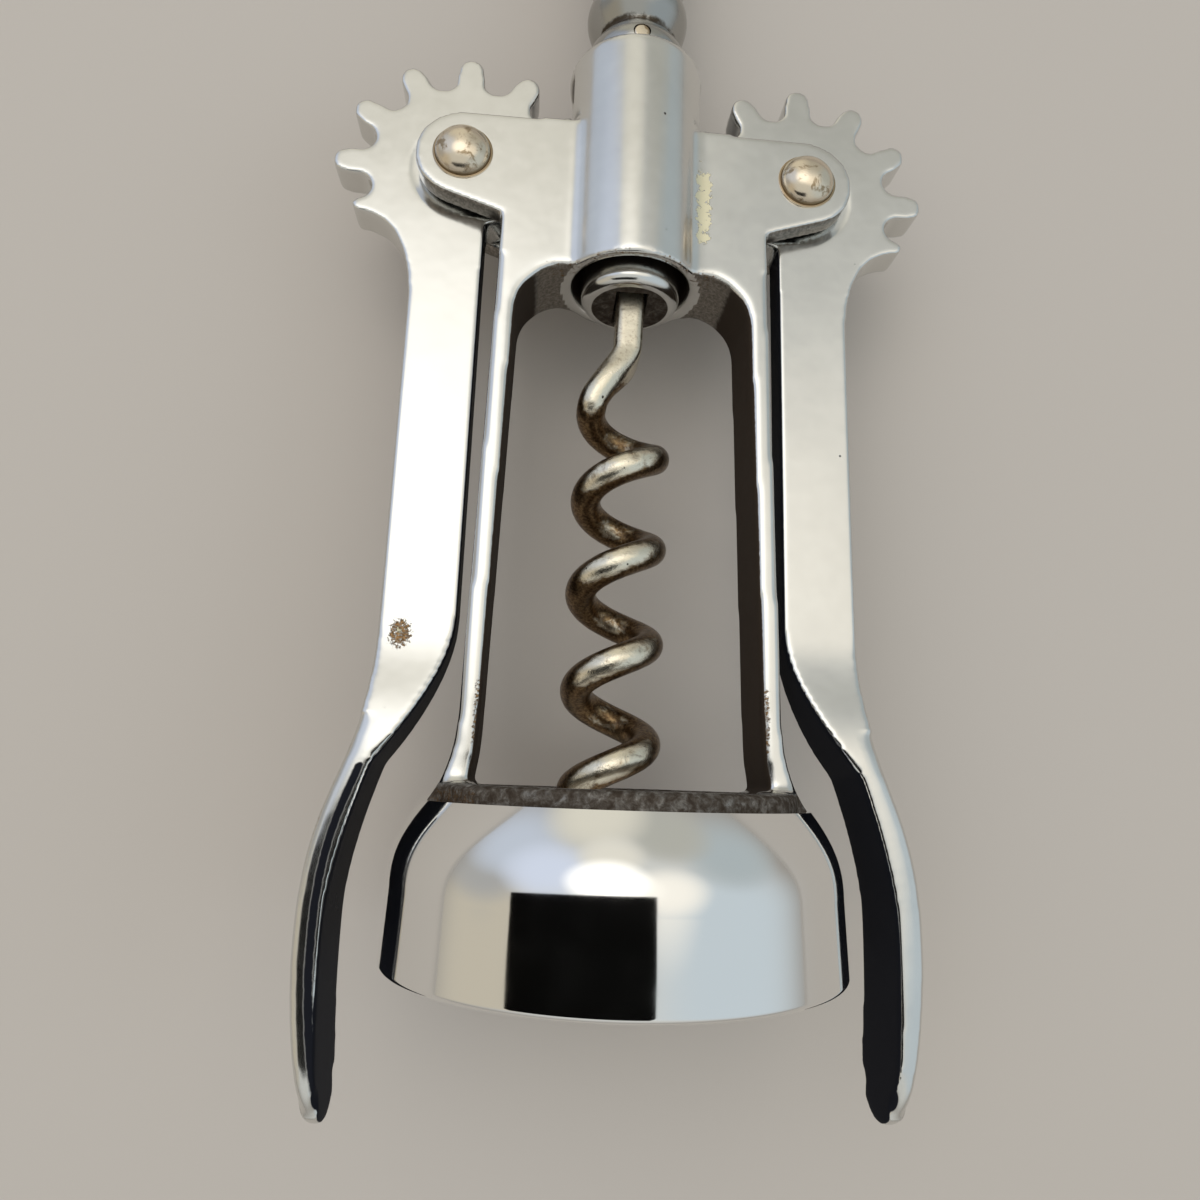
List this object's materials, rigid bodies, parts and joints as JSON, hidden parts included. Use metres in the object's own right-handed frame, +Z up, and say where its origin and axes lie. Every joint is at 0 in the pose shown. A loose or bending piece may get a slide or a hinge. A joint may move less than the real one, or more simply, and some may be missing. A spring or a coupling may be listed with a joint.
{
  "type": "wing corkscrew",
  "caption": "Wing corkscrew lying on its back: toothed levers on a slotted frame lift a sliding rack, whose spindle carries a bow handle and a worm over a bell.",
  "frame": {"origin": "middle of the footprint, on the surface that the corkscrew lies on", "axes": "+X to the right, +Y from the bell to the handle, +Z up out of the front; the corkscrew's own axis falls by 6.33 degrees toward the handle"},
  "size_m": [0.0624, 0.1772, 0.0407],
  "materials": {
    "frame_metal": "worn satin plating with fine pits",
    "bell_metal": "mirror plating",
    "lever_metal": "worn satin plating with brown blemishes",
    "rivet_metal": "tarnished",
    "rack_metal": "dull turned steel",
    "spindle_metal": "worn plating",
    "worm_metal": "brown patina",
    "handle_metal": "worn satin plating"
  },
  "bodies": {
    "stand": {"frame": "frame_metal", "bell": "bell_metal", "left_rivet": "rivet_metal", "right_rivet": "rivet_metal"},
    "rack_sleeve": {"rack": "rack_metal", "rack_retainer": "rivet_metal"},
    "screw": {"spindle": "spindle_metal", "worm_pin": "worm_metal", "worm": "worm_metal", "handle": "handle_metal", "handle_pin": "rivet_metal"},
    "left_wing": {"left_lever": "lever_metal"},
    "right_wing": {"right_lever": "lever_metal"}
  },
  "joints": [
    {"name": "rack_slide", "type": "slide", "parent": "stand", "child": "rack_sleeve", "axis": [0, -0.9939, 0.1103], "range_m": [0, 0.031]},
    {"name": "screw_turn", "type": "hinge", "parent": "rack_sleeve", "child": "screw", "pos_m": [0, 0.00092, 0.01218], "axis": [0, -0.9939, 0.1103], "continuous": true},
    {"name": "left_wing_hinge", "type": "hinge", "parent": "stand", "child": "left_wing", "pos_m": [-0.0178, 0.00092, 0.01218], "axis": [0, -0.1103, -0.9939], "range_deg": [0, 150]},
    {"name": "right_wing_hinge", "type": "hinge", "parent": "stand", "child": "right_wing", "pos_m": [0.0178, 0.00092, 0.01218], "axis": [0, 0.1103, 0.9939], "range_deg": [0, 150]}
  ],
  "couplings": [
    {"joint": "left_wing_hinge", "follows": "rack_slide", "rad_per_m": 84.459},
    {"joint": "right_wing_hinge", "follows": "rack_slide", "rad_per_m": 84.459}
  ]
}
